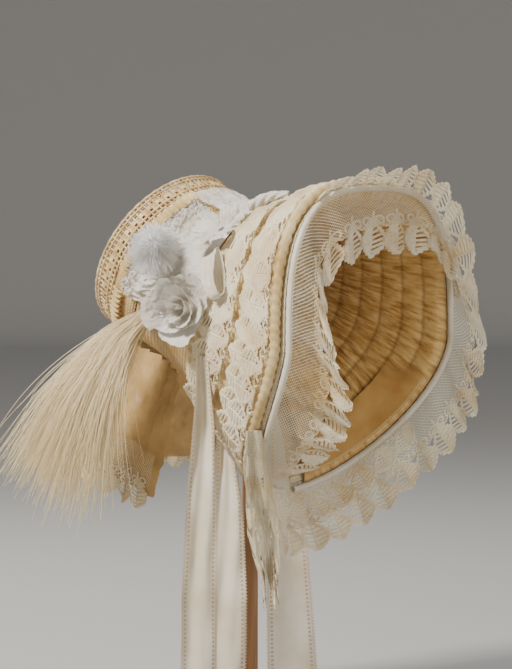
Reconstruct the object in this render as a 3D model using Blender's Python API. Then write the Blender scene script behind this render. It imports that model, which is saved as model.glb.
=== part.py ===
import math
import random
from collections import namedtuple

import bmesh
import bpy
from mathutils import Matrix, Vector

# Row frame: metres, +Z up, the face opening looks along -Y, the wearer's right is -X.
# The origin is the middle of the stand's foot.

# Crown: a shallow drum with a domed back, tilted back
CROWN_TIP_RADIUS = 0.066
CROWN_JOIN_RADIUS = 0.070
CROWN_DEPTH = 0.050
CROWN_TILT = math.radians(30)
CROWN_TIP_Y = 0.092
CROWN_TIP_Z = 0.373
CROWN_DOME = 0.009

# Face edge of the brim
RIM_HALF_WIDTH = 0.0925
RIM_HALF_HEIGHT = 0.117
RIM_CENTRE_Z = 0.310
RIM_Y = -0.124
RIM_SQUARENESS = 3.0
CHEEK_SET_BACK = 0.086
BRIM_WAIST = 0.010
NECK_ANGLE_BACK = math.radians(130)
NECK_ANGLE_FRONT = math.radians(177)

# Cloth and straw
STRAW = 0.0015
CLOTH = 0.0012
LACE = 0.0011
CLEARANCE = 0.0004
LINING_GAP = 0.0026
SHIRR_DEPTH = 0.0022
SHIRR_RINGS = 4
SILK_LOFT = 0.0035
SILK_GATHER = 0.0010
BINDING_RADIUS = 0.0022
ROLL_RADIUS = 0.0036
LEAF_WIDTH = 0.0170

# Trimming
ROSE_RADIUS = 0.0300
ROSE_HEIGHT = 0.0240
ROSE_TURNS = 3.6
DOWN_RADIUS = 0.0170
PETAL_REACH = 0.0270
LOOP_LENGTH = 0.0190
LOOP_WIDTH = 0.0200
PLUME_LENGTH = 0.168
NECK_FALL = 0.118
NECK_SWAY = 0.0050
TIE_WIDTH = 0.030
TIE_END = 0.034

# Stand
BASE_RADIUS = 0.092
BASE_THICKNESS = 0.016
POST_RADIUS = 0.0062
HEAD_RADIUS = 0.045
HEAD_THICKNESS = 0.026

COLUMNS = 26
CROWN_STEPS = 28

MATERIALS = {
    "straw": ((0.46, 0.30, 0.13), 0.45),
    "cream_silk": ((0.82, 0.74, 0.60), 0.40),
    "amber_silk": ((0.45, 0.26, 0.09), 0.45),
    "satin": ((0.84, 0.80, 0.72), 0.32),
    "white_silk": ((0.88, 0.87, 0.84), 0.50),
    "lace": ((0.80, 0.71, 0.57), 0.80),
    "down": ((0.90, 0.90, 0.89), 0.95),
    "fibre": ((0.62, 0.56, 0.42), 0.70),
    "wood": ((0.36, 0.19, 0.09), 0.50),
}

CROWN_AXIS = Vector((0, math.cos(CROWN_TILT), math.sin(CROWN_TILT)))
CROWN_UP = Vector((0, -math.sin(CROWN_TILT), math.cos(CROWN_TILT)))
TIP_CENTRE = Vector((0, CROWN_TIP_Y, CROWN_TIP_Z))
JOIN_CENTRE = TIP_CENTRE - CROWN_AXIS * CROWN_DEPTH
RIM_CENTRE = Vector((0, RIM_Y, RIM_CENTRE_Z))
UP = Vector((0, 0, 1))
FRONT = Vector((0, -1, 0))


# Surface of the bonnet


def mix(a, b, share):
    return a + (b - a) * share


def rim_point(theta):
    power = RIM_SQUARENESS if math.cos(theta) > 0 else 2.0
    across = abs(math.sin(theta)) / RIM_HALF_WIDTH
    along = abs(math.cos(theta)) / RIM_HALF_HEIGHT
    reach = (across**power + along**power) ** (-1 / power)
    fall = max(0.0, -reach * math.cos(theta) / RIM_HALF_HEIGHT)
    back = CHEEK_SET_BACK * fall**1.5
    return RIM_CENTRE + Vector((reach * math.sin(theta), back, reach * math.cos(theta)))


def crown_point(depth, theta):
    centre = mix(JOIN_CENTRE, TIP_CENTRE, depth)
    radius = mix(CROWN_JOIN_RADIUS, CROWN_TIP_RADIUS, depth)
    return centre + Vector((radius * math.sin(theta), 0, 0)) + CROWN_UP * radius * math.cos(theta)


def brim_point(depth, theta):
    point = mix(crown_point(0, theta), rim_point(theta), depth)
    out = point - mix(JOIN_CENTRE, RIM_CENTRE, depth)
    out.y = 0
    waist = BRIM_WAIST * math.sin(math.pi * max(depth, 0.0) ** 0.8)
    return point - out.normalized() * waist


def skin(depth, theta):
    """Depth runs from -1 at the crown's tip through 0 at the join to 1 at the face edge."""
    return crown_point(-depth, theta) if depth < 0 else brim_point(depth, theta)


def outward(depth, theta):
    low = depth - 0.01 if depth >= 0.01 or depth < 0 else depth
    along = skin(low + 0.01, theta) - skin(low, theta)
    around = skin(depth, theta + 0.01) - skin(depth, theta - 0.01)
    return around.cross(along).normalized() * -1


def lifted(depth, theta, height):
    return skin(depth, theta) + outward(depth, theta) * height


def neck_angle(depth):
    return mix(NECK_ANGLE_BACK, NECK_ANGLE_FRONT, depth)


# Solids


def material(name):
    found = bpy.data.materials.get(name)
    if found:
        return found
    colour, roughness = MATERIALS[name]
    made = bpy.data.materials.new(name)
    made.use_nodes = True
    shader = made.node_tree.nodes["Principled BSDF"]
    shader.inputs["Base Color"].default_value = (*colour, 1)
    shader.inputs["Roughness"].default_value = roughness
    made.diffuse_color = (*colour, 1)
    return made


def add_object(name, mesh, cloth):
    bmesh.ops.recalc_face_normals(mesh, faces=mesh.faces)
    data = bpy.data.meshes.new(name)
    mesh.to_mesh(data)
    mesh.free()
    made = bpy.data.objects.new(name, data)
    own = material(cloth).copy()
    own.name = name
    made.data.materials.append(own)
    collection.objects.link(made)
    return made


def sheet_solid(name, outer, inner, cloth, windows=(), loop=False):
    """Close two grids of points into one sheet, leaving out the cells listed as windows."""
    rows = len(outer)
    columns = len(outer[0])
    cells = columns if loop else columns - 1
    mesh = bmesh.new()
    over = [[mesh.verts.new(point) for point in row] for row in outer]
    under = [[mesh.verts.new(point) for point in row] for row in inner]
    present = set()
    for i in range(rows - 1):
        for j in range(cells):
            if (i, j) not in windows:
                present.add((i, j))

    def wall(start, end):
        a, b = over[start[0]][start[1]], over[end[0]][end[1]]
        c, d = under[end[0]][end[1]], under[start[0]][start[1]]
        mesh.faces.new((a, d, c))
        mesh.faces.new((a, c, b))

    for i, j in present:
        k = (j + 1) % columns
        for grid, turn in ((over, 1), (under, -1)):
            a, b, c, d = grid[i][j], grid[i][k], grid[i + 1][k], grid[i + 1][j]
            mesh.faces.new((a, b, c)[::turn])
            mesh.faces.new((a, c, d)[::turn])
        before = (j - 1) % columns if loop else j - 1
        after = (j + 1) % columns if loop else j + 1
        if (i - 1, j) not in present:
            wall((i, j), (i, k))
        if (i + 1, j) not in present:
            wall((i + 1, k), (i + 1, j))
        if (i, before) not in present:
            wall((i + 1, j), (i, j))
        if (i, after) not in present:
            wall((i, k), (i + 1, k))
    loose = [vert for vert in mesh.verts if not vert.link_faces]
    bmesh.ops.delete(mesh, geom=loose, context="VERTS")
    return add_object(name, mesh, cloth)


def thickened(name, grid, thickness, cloth, windows=(), loop=False):
    """Give a grid of points a wall, half to each side."""
    rows = len(grid)
    columns = len(grid[0])
    normals = [[Vector((0, 0, 0)) for _ in row] for row in grid]
    for i in range(rows - 1):
        for j in range(columns if loop else columns - 1):
            k = (j + 1) % columns
            corners = ((i, j), (i, k), (i + 1, k), (i + 1, j))
            a, b, c, d = (grid[row][column] for row, column in corners)
            normal = (c - a).cross(d - b)
            for row, column in corners:
                normals[row][column] += normal
    half = thickness / 2
    outer = []
    inner = []
    for i in range(rows):
        walls = [normals[i][j].normalized() * half for j in range(columns)]
        outer.append([point + wall for point, wall in zip(grid[i], walls)])
        inner.append([point - wall for point, wall in zip(grid[i], walls)])
    return sheet_solid(name, outer, inner, cloth, windows, loop)


def skin_sheet(name, depths, across, low, high, cloth, columns=COLUMNS):
    """Loft a layer over the bonnet's surface between two heights above it."""
    outer = []
    inner = []
    for depth in depths:
        edge = neck_angle(max(depth, 0))
        angles = [edge * mix(across[0], across[1], j / columns) for j in range(columns + 1)]
        outer.append([lifted(depth, angle, high(depth, j)) for j, angle in enumerate(angles)])
        inner.append([lifted(depth, angle, low(depth, j)) for j, angle in enumerate(angles)])
    return sheet_solid(name, outer, inner, cloth)


def lathe(name, profile, steps, place, cloth):
    """Turn a profile of (radius, height) about its axis."""
    mesh = bmesh.new()
    verts = [mesh.verts.new((radius, 0, height)) for radius, height in profile]
    edges = [mesh.edges.new(pair) for pair in zip(verts, verts[1:])]
    turned = verts + edges
    bmesh.ops.spin(mesh, geom=turned, axis=(0, 0, 1), angle=math.tau, steps=steps, use_merge=True)
    bmesh.ops.remove_doubles(mesh, verts=mesh.verts, dist=0.00001)
    bmesh.ops.transform(mesh, matrix=place, verts=mesh.verts)
    bmesh.ops.triangulate(mesh, faces=mesh.faces)
    return add_object(name, mesh, cloth)


def rope(name, path, radii, cloth, sides=8, lobes=0, depth=0.0, twist=0.0):
    """Sweep a round or lobed section along a path with closed ends."""
    rings = []
    side = None
    for i, point in enumerate(path):
        ahead = path[min(i + 1, len(path) - 1)] - path[max(i - 1, 0)]
        ahead.normalize()
        if side is None:
            side = ahead.orthogonal().normalized()
        side = (side - ahead * side.dot(ahead)).normalized()
        other = ahead.cross(side)
        ring = []
        for j in range(sides):
            angle = math.tau * j / sides
            reach = radii[i] * (1 + depth * math.cos(lobes * angle))
            turn = angle + twist * i / (len(path) - 1)
            ring.append(point + side * reach * math.cos(turn) + other * reach * math.sin(turn))
        rings.append(ring)
    mesh = bmesh.new()
    verts = [[mesh.verts.new(point) for point in ring] for ring in rings]
    for i in range(len(rings) - 1):
        for j in range(sides):
            k = (j + 1) % sides
            mesh.faces.new((verts[i][j], verts[i][k], verts[i + 1][k]))
            mesh.faces.new((verts[i][j], verts[i + 1][k], verts[i + 1][j]))
    mesh.faces.new(verts[0])
    mesh.faces.new(verts[-1][::-1])
    bmesh.ops.triangulate(mesh, faces=mesh.faces)
    return add_object(name, mesh, cloth)


def column_of(rows, name, at):
    """Read a column of a table of rows at a place between them."""
    keys = [row[0] for row in rows]
    at = min(max(at, keys[0]), keys[-1])
    for first, second in zip(rows, rows[1:]):
        if at <= second[0]:
            share = (at - first[0]) / (second[0] - first[0])
            return mix(getattr(first, name), getattr(second, name), share)
    return getattr(rows[-1], name)


LEAF_EDGE = (0.80, 0.955, 1.0)


def frill(name, start, fall, leaves, waves, sway, shares, window_row, cloth="lace"):
    """Hang a ruffled lace with a leaf edge from a line of points."""
    columns = 3 * leaves
    grid = [[] for _ in shares]
    for j in range(columns + 1):
        along = j / columns
        root = start(along)
        step = start(min(along + 0.01, 1)) - start(max(along - 0.01, 0))
        direction, length = fall(along)
        normal = direction.cross(step).normalized()
        wave = math.sin(math.tau * waves * along)
        for i, share in enumerate(shares):
            reach = share * length
            if i == len(shares) - 1:
                reach *= LEAF_EDGE[j % 3]
            ripple = sway * wave * share**0.8 * (length / fall(0.5)[1])
            grid[i].append(root + direction * reach + normal * ripple)
    windows = {(window_row, 3 * leaf + 1) for leaf in range(leaves)}
    return thickened(name, grid, LACE, cloth, windows)


# Bonnet


def build_crown():
    outer_tip = CROWN_DEPTH + CROWN_DOME
    edge = 0.005
    profile = (
        (0, outer_tip + STRAW),
        (CROWN_TIP_RADIUS * 0.35, CROWN_DEPTH + CROWN_DOME * 0.88 + STRAW),
        (CROWN_TIP_RADIUS * 0.70, CROWN_DEPTH + CROWN_DOME * 0.50 + STRAW),
        (CROWN_TIP_RADIUS - edge * 0.6, CROWN_DEPTH + STRAW),
        (CROWN_TIP_RADIUS + STRAW, CROWN_DEPTH - edge),
        (CROWN_JOIN_RADIUS + STRAW, 0),
        (CROWN_JOIN_RADIUS, 0),
        (CROWN_TIP_RADIUS, CROWN_DEPTH - edge - STRAW * 0.4),
        (CROWN_TIP_RADIUS - edge * 0.6 - STRAW * 0.5, CROWN_DEPTH),
        (CROWN_TIP_RADIUS * 0.68, CROWN_DEPTH + CROWN_DOME * 0.50),
        (0, outer_tip),
    )
    place = Matrix.Translation(JOIN_CENTRE) @ Matrix.Rotation(CROWN_TILT - math.pi / 2, 4, "X")
    lathe("crown", profile, CROWN_STEPS, place, "straw")


def build_braid():
    rungs = 14
    bands = (0.60, 0.70, 0.90, 1.00)
    stand = STRAW + CLEARANCE
    grid = []
    for band in bands:
        row = []
        for j in range(2 * rungs):
            theta = math.tau * j / (2 * rungs)
            centre = mix(JOIN_CENTRE, TIP_CENTRE, band)
            out = Vector((math.sin(theta), 0, 0)) + CROWN_UP * math.cos(theta)
            lean = 0.0012 * (band - 0.6) / 0.4
            radius = mix(CROWN_JOIN_RADIUS, CROWN_TIP_RADIUS, band)
            row.append(centre + out * (radius + stand + LACE / 2 + lean))
        grid.append(row)
    windows = {(1, 2 * rung) for rung in range(rungs)}
    thickened("crown_braid", grid, LACE, "straw", windows, loop=True)


def build_brim():
    depths = (0.006, 0.2, 0.4, 0.6, 0.8, 0.9, 1.0)
    skin_sheet("brim", depths, (-1, 1), lambda v, j: 0, lambda v, j: STRAW, "straw")


def build_lining():
    first, last = 0.05, 0.985
    steps = 2 * SHIRR_RINGS
    depths = [mix(first, last, i / steps) for i in range(steps + 1)]
    puffed = {depth: (i % 2) * SHIRR_DEPTH for i, depth in enumerate(depths)}
    top = -LINING_GAP

    def low(depth, j):
        return top - CLOTH - puffed[depth] * (1 if j % 2 else 0.75)

    skin_sheet("lining", depths, (-0.965, 0.965), low, lambda v, j: top, "amber_silk")


def build_lining_band():
    inset = LINING_GAP + CLEARANCE * 3 + CLOTH + SHIRR_DEPTH
    depths = (0.80, 0.87, 0.94, 0.98)
    skin_sheet(
        "lining_band",
        depths,
        (0.62, 0.955),
        lambda v, j: -inset - CLOTH * 1.6,
        lambda v, j: -inset,
        "amber_silk",
        columns=12,
    )


def build_brim_silk():
    depths = (0.36, 0.46, 0.60, 0.74, 0.86, 0.92)
    rise = {0.36: 0.10, 0.46: 0.75, 0.60: 1.0, 0.74: 1.0, 0.86: 0.75, 0.92: 0.10}
    floor = STRAW + CLEARANCE * 1.5

    def low(depth, j):
        return floor + SILK_LOFT * rise[depth] * 0.75

    def high(depth, j):
        return low(depth, j) + CLOTH + (j % 2) * SILK_GATHER

    skin_sheet("brim_silk", depths, (-0.985, 0.985), low, high, "cream_silk")


def build_binding():
    forward = BINDING_RADIUS + CLEARANCE
    path = []
    for j in range(COLUMNS + 1):
        theta = NECK_ANGLE_FRONT * mix(-1, 1, j / COLUMNS)
        ahead = (brim_point(1.0, theta) - brim_point(0.97, theta)).normalized()
        middle = lifted(1.0, theta, STRAW / 2 - CLOTH)
        path.append(middle + ahead * forward)
    rope("rim_binding", path, [BINDING_RADIUS] * len(path), "satin", sides=6)


def build_roll():
    height = STRAW + CLEARANCE + ROLL_RADIUS * 1.2
    path = [lifted(0.955, NECK_ANGLE_FRONT * mix(-0.95, 0.95, j / 24), height) for j in range(25)]
    radii = [ROLL_RADIUS * min(1, 0.35 + 2.2 * min(j, 24 - j) / 6) for j in range(25)]
    rope("rim_roll", path, radii, "cream_silk", sides=6)


# Lace

Fall = namedtuple("Fall", "angle length up out front")

# Lengths are in leaf widths; up, out and front make the direction in which the lace falls.
OUTER_FALL = (
    Fall(-30, 1.1, 0.35, 0.2, 0.9),
    Fall(5, 1.2, 0.45, 0.2, 0.85),
    Fall(32, 1.4, 0.35, 0.6, 0.6),
    Fall(52, 1.9, -0.25, 0.95, 0.35),
    Fall(78, 3.5, -0.85, 0.62, 0.30),
    Fall(105, 3.3, -0.92, 0.45, 0.30),
    Fall(130, 3.2, -1.0, 0.25, 0.25),
    Fall(155, 3.3, -1.0, 0.10, 0.20),
    Fall(190, 3.0, -1.0, 0.05, 0.15),
)
INNER_FALL = (
    Fall(-158, 2.4, -0.10, -0.95, 0.50),
    Fall(-130, 3.2, -0.40, -0.75, 0.50),
    Fall(-95, 3.5, -0.75, -0.58, 0.42),
    Fall(-60, 3.6, -0.90, -0.25, 0.35),
    Fall(-30, 3.3, -1.0, 0.0, 0.25),
    Fall(0, 3.1, -1.0, 0.0, 0.22),
    Fall(35, 2.8, -1.0, -0.05, 0.22),
    Fall(62, 1.5, -0.90, -0.10, 0.25),
)
EDGE_FALL = (
    Fall(128, 1.0, -1.0, 0.15, 0.35),
    Fall(160, 1.5, -1.0, 0.10, 0.35),
    Fall(200, 1.3, -1.0, 0.05, 0.35),
)


def rim_lace(name, table, depth, height, ahead, leaves, waves, sway, shares, window_row):
    first, last = math.radians(table[0].angle), math.radians(table[-1].angle)

    def start(along):
        theta = mix(first, last, along)
        forward = (brim_point(1.0, theta) - brim_point(0.97, theta)).normalized()
        return lifted(depth, theta, height) + forward * ahead

    def fall(along):
        angle = mix(table[0].angle, table[-1].angle, along)
        theta = math.radians(angle)
        out = outward(1.0, theta)
        up = column_of(table, "up", angle)
        aside = column_of(table, "out", angle)
        front = column_of(table, "front", angle)
        direction = UP * up + out * aside + FRONT * front
        return direction.normalized(), LEAF_WIDTH * column_of(table, "length", angle)

    frill(name, start, fall, leaves, waves, sway, shares, window_row)


def build_rim_laces():
    shares = (0, 0.44, 0.70, 1.0)
    edge = 2 * BINDING_RADIUS + CLEARANCE * 2
    rim_lace("lace_outer", OUTER_FALL, 0.985, STRAW + 0.0022, 0.0, 19, 9.5, 0.0050, shares, 1)
    rim_lace("lace_inner", INNER_FALL, 1.0, 0.0, edge + 0.0006, 16, 8, 0.0050, shares, 1)
    rim_lace("lace_edge", EDGE_FALL, 1.0, 0.0, edge + 0.0002, 5, 2.5, 0.0022, shares, 1)


def build_tier(name, depth_root, depth_tip, low, high, leaves, waves, sway):
    """Lay a lace with a leaf edge over the brim, its leaves pointing to the crown."""
    columns = 3 * leaves
    shares = (0, 0.42, 0.70, 1.0)
    grid = [[] for _ in shares]
    for j in range(columns + 1):
        across = mix(-0.955, 0.955, j / columns)
        wave = math.sin(math.tau * waves * j / columns)
        for i, share in enumerate(shares):
            reach = share * (LEAF_EDGE[j % 3] if i == len(shares) - 1 else 1)
            depth = mix(depth_root, depth_tip, reach)
            rise = mix(low, high, share) + sway * (wave + 1) * (0.25 + share)
            grid[i].append(lifted(depth, neck_angle(depth) * across, rise))
    windows = {(1, 3 * leaf + 1) for leaf in range(leaves)}
    thickened(name, grid, LACE, "lace", windows)


JABOT_LEAN = Vector((0.07, -0.08, 0))


def build_jabot():
    """Lace gathered into zigzag falls below the wearer's right cheek."""
    top = lifted(0.985, math.radians(-128), 0.0104)
    drop = LEAF_WIDTH * 8.0
    folds = 7
    grid = []
    for i in range(9):
        share = i / 8
        row = []
        half = LEAF_WIDTH * mix(0.42, 0.80, math.sin(math.pi * min(share * 1.15, 1)))
        for j in range(folds + 1):
            across = mix(-1, 1, j / folds)
            ruffle = LEAF_WIDTH * 0.30 * (0.4 + share) * (1 if j % 2 else -1)
            point = top + Vector((across * half * 0.85, -across * half * 0.35, -drop * share))
            point += JABOT_LEAN * drop * share + Vector((-0.35 * ruffle, -ruffle, 0))
            if i == 8:
                point.z += LEAF_WIDTH * (0.5 if j % 2 else 0.1) * (1 + abs(across))
            row.append(point)
        grid.append(row)
    thickened("lace_jabot", grid, LACE, "lace")


# Trimming

TRIM_FLOOR = STRAW + CLEARANCE * 1.5
SILK_TOP = TRIM_FLOOR + SILK_LOFT * 0.75 + CLOTH + SILK_GATHER


def build_ruche(name, depth, angles, width, pleats, lift):
    grid = []
    for i, share in enumerate((-0.5, 0, 0.5)):
        row = []
        for j in range(2 * pleats + 1):
            theta = math.radians(mix(angles[0], angles[1], j / (2 * pleats)))
            fold = 0.0016 if j % 2 else -0.0016
            row.append(lifted(depth + share * width, theta, lift + fold + (0.002 if i == 1 else 0)))
        grid.append(row)
    thickened(name, grid, CLOTH, "cream_silk")


Puff = namedtuple("Puff", "depth end loft")

# Rows of the crumpled tulle from the crown to the brim: where each ends round the side, how high it puffs
PUFF_ROWS = (
    Puff(-0.36, -98, 0.0),
    Puff(-0.20, -98, 1.0),
    Puff(-0.02, -96, 1.0),
    Puff(0.14, -92, 0.0),
    Puff(0.24, -79, 0.1),
    Puff(0.33, -78, 0.0),
)


def build_tulle_puff():
    """Crumpled tulle round the near side of the crown."""
    rng = random.Random(4)
    columns = 14
    outer = []
    inner = []
    for puff in PUFF_ROWS:
        over = []
        under = []
        for j in range(columns + 1):
            theta = math.radians(mix(-25, puff.end, j / columns))
            rise = TRIM_FLOOR + CLEARANCE * 2 + puff.loft * SILK_LOFT * (0.57 + 0.86 * rng.random())
            over.append(lifted(puff.depth, theta, rise + CLOTH))
            under.append(lifted(puff.depth, theta, rise))
        outer.append(over)
        inner.append(under)
    sheet_solid("tulle_puff", outer, inner, "white_silk")


def build_down():
    rng = random.Random(9)
    centre = lifted(0.05, math.radians(-64), TRIM_FLOOR + DOWN_RADIUS * 1.40)
    mesh = bmesh.new()
    bmesh.ops.create_icosphere(mesh, subdivisions=2, radius=1)
    for vert in mesh.verts:
        vert.co *= DOWN_RADIUS * (0.85 + 0.40 * rng.random())
        vert.co += centre
    add_object("down_tuft", mesh, "down")


def petal_frame(depth, theta, height, lean=0.0):
    """A place on the trimming with its normal, leaning to the front, and two directions across."""
    normal = (outward(depth, theta) + FRONT * lean).normalized()
    side = UP.cross(normal).normalized()
    return lifted(depth, theta, height), normal, side, normal.cross(side)


def build_petals():
    """Five silk petals opening from one heart."""
    centre, normal, side, up = petal_frame(0.34, math.radians(-42), SILK_TOP + 0.0052)
    petals = 5
    steps = 4 * petals
    grid = []
    for share in (0.12, 0.45, 0.80, 1.0):
        row = []
        for j in range(steps):
            angle = math.tau * j / steps
            lobe = (0.55, 0.92, 1.0, 0.92)[j % 4]
            reach = PETAL_REACH * share * (lobe if share > 0.3 else 1)
            cup = 0.33 * share**2 * (1.0 if j % 4 else 0.2) - 0.185 * math.sin(angle) * share
            point = centre + side * reach * math.cos(angle) + up * reach * math.sin(angle)
            row.append(point + normal * PETAL_REACH * cup)
        grid.append(row)
    thickened("silk_petals", grid, CLOTH, "white_silk", loop=True)


def build_rose():
    """A ribbon rose: one band wound from the bud outwards with ruffled petal edges."""
    centre, normal, side, up = petal_frame(0.345, math.radians(-90), SILK_TOP + 0.0082, lean=0.38)
    columns = 38
    grid = [[], [], [], []]
    for j in range(columns + 1):
        share = j / columns
        angle = math.tau * ROSE_TURNS * share
        radius = ROSE_RADIUS * mix(0.085, 0.66, share)
        petal = 0.5 + 0.5 * math.cos(5 * angle * 0.62)
        around = side * math.cos(angle) + up * math.sin(angle)
        spread = mix(0.1, 1.0, share)
        for i, height in enumerate((0, 0.45, 0.80, 1.0)):
            flare = ROSE_RADIUS * spread * (0.29 * height**2 + 0.055 * petal * height)
            rise = ROSE_HEIGHT * mix(1, 0.54, share) * height * (0.86 + 0.14 * petal)
            grid[i].append(centre + around * (radius * (0.80 + 0.20 * height) + flare) + normal * rise)
    thickened("rose", grid, CLOTH, "white_silk")


def build_ribbon_loop():
    centre, normal, side, up = petal_frame(0.50, math.radians(-66), SILK_TOP + 0.0091)
    grid = []
    for across in (-1, 0, 1):
        row = []
        for j in range(14):
            angle = math.tau * j / 14
            long = LOOP_LENGTH * math.cos(angle)
            tall = LOOP_LENGTH * 0.29 * math.sin(angle) * (1 - 0.35 * math.cos(angle))
            along = (up * 0.85 - side * 0.5).normalized()
            over = normal.cross(along)
            point = centre + along * long + normal * (tall + 0.0015 * abs(across))
            row.append(point + over * across * LOOP_WIDTH / 2)
        grid.append(row)
    thickened("ribbon_loop", grid, CLOTH, "satin", loop=True)


# The plume's upper and lower edges, and how far it arches out between its ends
PLUME_HIGH = Vector((-0.54, 0.43, -0.75))
PLUME_LOW = Vector((-0.36, 0.03, -0.93))
PLUME_ARCH = Vector((-0.12, -0.04, 0.05))


def build_plume():
    """Curled fibres in locks, fused into one fan from the quill."""
    root = lifted(0.08, math.radians(-104), STRAW + CLEARANCE + 0.0028)
    locks = 7
    columns = 2 * locks
    rng = random.Random(12)
    outer = []
    inner = []
    ends = [0.90 + 0.16 * rng.random() for _ in range(columns + 1)]
    for i, share in enumerate((0, 0.16, 0.40, 0.66, 0.84, 1.0)):
        over = []
        under = []
        for j in range(columns + 1):
            fan = mix(-0.5, 0.5, j / columns)
            heading = mix(PLUME_HIGH, PLUME_LOW, fan + 0.5).normalized()
            reach = PLUME_LENGTH * share
            if i >= 4:
                reach *= ends[j] * (0.93 if j % 2 else 1.03)
            point = root + heading * reach - CROWN_AXIS * fan * 0.012
            point += PLUME_ARCH * PLUME_LENGTH * math.sin(math.pi * share)
            fat = 0.0046 * math.sin(math.pi * (0.10 + 0.82 * share)) * (1.0 if j % 2 else 0.55)
            away = Vector((-0.8, -0.45, 0.1)).normalized()
            over.append(point + away * (fat + 0.0006))
            under.append(point - away * (fat * 0.7 + 0.0006))
        outer.append(over)
        inner.append(under)
    sheet_solid("plume", outer, inner, "fibre")


def build_drape():
    """Tulle drawn from the crown's edge to the brim."""
    grid = []
    for i in range(6):
        share = i / 5
        row = []
        for j in range(6):
            across = j / 5
            crown = lifted(-0.52, math.radians(mix(-22, 20, across)), 0.0045)
            brim = lifted(0.31, math.radians(mix(-20, 16, across)), 0.0045)
            sag = 0.006 * math.sin(math.pi * share)
            crease = 0.0012 * (1 if (i + j) % 2 else -1) * math.sin(math.pi * share)
            row.append(mix(crown, brim, share) + UP * (crease - sag + 0.0004))
        grid.append(row)
    thickened("tulle_drape", grid, CLOTH, "white_silk")


def build_twist():
    """A twisted crepe end that lies from the drape to the brim's lace."""
    path = []
    for i in range(9):
        share = i / 8
        theta = math.radians(mix(-22, -13, share))
        depth = mix(0.33, 0.56, share)
        rise = STRAW + SILK_LOFT + 0.0044 + 0.004 * share
        path.append(lifted(depth, theta, rise + 0.0035 * math.sin(math.pi * share)))
    radii = [0.0042, 0.0050, 0.0048, 0.0044, 0.0040, 0.0036, 0.0032, 0.0028, 0.0020]
    rope("crepe_twist", path, radii, "white_silk", sides=8, lobes=4, depth=0.14, twist=math.radians(320))


# Neck

Neck = namedtuple("Neck", "along depth angle length out side")

# The neck curtain's line of gathers, from the wearer's right round the back to the left
NECK_LINE = (
    Neck(0.00, 0.30, -145, 0.89, 0.10, -0.20),
    Neck(0.14, 0.12, -138, 0.95, 0.18, -0.26),
    Neck(0.28, -0.10, -138, 0.93, 0.29, -0.24),
    Neck(0.50, -0.55, -180, 0.90, 0.37, 0.0),
    Neck(0.72, -0.10, -222, 0.93, 0.29, 0.24),
    Neck(0.86, 0.12, -222, 0.95, 0.18, 0.26),
    Neck(1.00, 0.30, -215, 0.89, 0.10, 0.20),
)


NECK_COLUMNS = 30
NECK_WAVES = 7


def neck_point(along, drop):
    """A point of the neck curtain, drop being its share of the fall."""
    depth = column_of(NECK_LINE, "depth", along)
    angle = math.radians(column_of(NECK_LINE, "angle", along))
    top = lifted(depth, angle, STRAW + CLOTH + CLEARANCE)
    out = column_of(NECK_LINE, "out", along)
    side = column_of(NECK_LINE, "side", along)
    direction = Vector((side, out, -1)).normalized()
    away = Vector((top.x, top.y, 0)).normalized()
    wave = math.sin(math.tau * NECK_WAVES * along) * NECK_SWAY * min(1, 0.15 + drop)
    length = NECK_FALL * column_of(NECK_LINE, "length", along)
    return top + direction * length * drop + away * wave


def build_bavolet():
    grid = []
    for drop in (0, 0.25, 0.65, 1.0):
        grid.append([neck_point(j / NECK_COLUMNS, drop * 0.94) for j in range(NECK_COLUMNS + 1)])
    thickened("bavolet", grid, CLOTH, "cream_silk")


def build_bavolet_lace():
    leaves = NECK_COLUMNS // 3
    columns = NECK_COLUMNS
    shares = (0.60, 0.78, 0.90, 1.04)
    grid = []
    for i, share in enumerate(shares):
        row = []
        for j in range(columns + 1):
            drop = share * (0.93 + 0.07 * LEAF_EDGE[j % 3] if i < 3 else LEAF_EDGE[j % 3] ** 0.5)
            near = neck_point(j / columns, drop)
            out = Vector((near.x, near.y, 0)).normalized()
            row.append(near + out * 0.0055)
        grid.append(row)
    windows = {(1, 3 * leaf + 1) for leaf in range(leaves)}
    thickened("bavolet_lace", grid, LACE, "lace", windows)


Tie = namedtuple("Tie", "share across forward turn width")

# Shares are of the tie's own fall, across and forward in tie widths
TIE_BACK = (
    Tie(0.00, 0.0, 0.0, 20, 0.30),
    Tie(0.20, 0.05, 0.05, 30, 0.60),
    Tie(0.45, -0.05, 0.10, 45, 0.85),
    Tie(0.70, -0.10, 0.05, 35, 0.95),
    Tie(1.00, -0.05, 0.00, 30, 1.00),
)
TIE_FRONT = (
    Tie(0.00, 0.0, 0.0, 60, 0.30),
    Tie(0.30, 0.05, 0.10, 50, 0.80),
    Tie(0.65, 0.00, 0.15, 40, 1.00),
    Tie(1.00, 0.05, 0.05, 35, 1.05),
)
TIE_FAR = (
    Tie(0.00, 0.0, 0.0, 30, 0.60),
    Tie(0.30, 0.10, 0.0, 40, 0.90),
    Tie(0.60, 0.30, -0.10, 55, 1.20),
    Tie(1.00, 0.35, 0.05, 45, 1.40),
)


def build_tie(name, top, table):
    fall = top.z - TIE_END
    grid = []
    for i in range(9):
        share = i / 8
        turn = math.radians(column_of(table, "turn", share))
        across = Vector((math.cos(turn), -math.sin(turn), 0))
        width = TIE_WIDTH * column_of(table, "width", share)
        middle = top + Vector((0, 0, -fall * share))
        middle.x += TIE_WIDTH * column_of(table, "across", share)
        middle.y -= TIE_WIDTH * column_of(table, "forward", share)
        depth = across.cross(UP)
        row = []
        for j in range(5):
            at = mix(-0.5, 0.5, j / 4)
            crease = 0.0030 * math.cos(2 * math.tau * j / 4 * 0.5 + share * 2) * (1 - 0.3 * share)
            row.append(middle + across * width * at + depth * crease)
        grid.append(row)
    thickened(name, grid, CLOTH, "satin")


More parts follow.
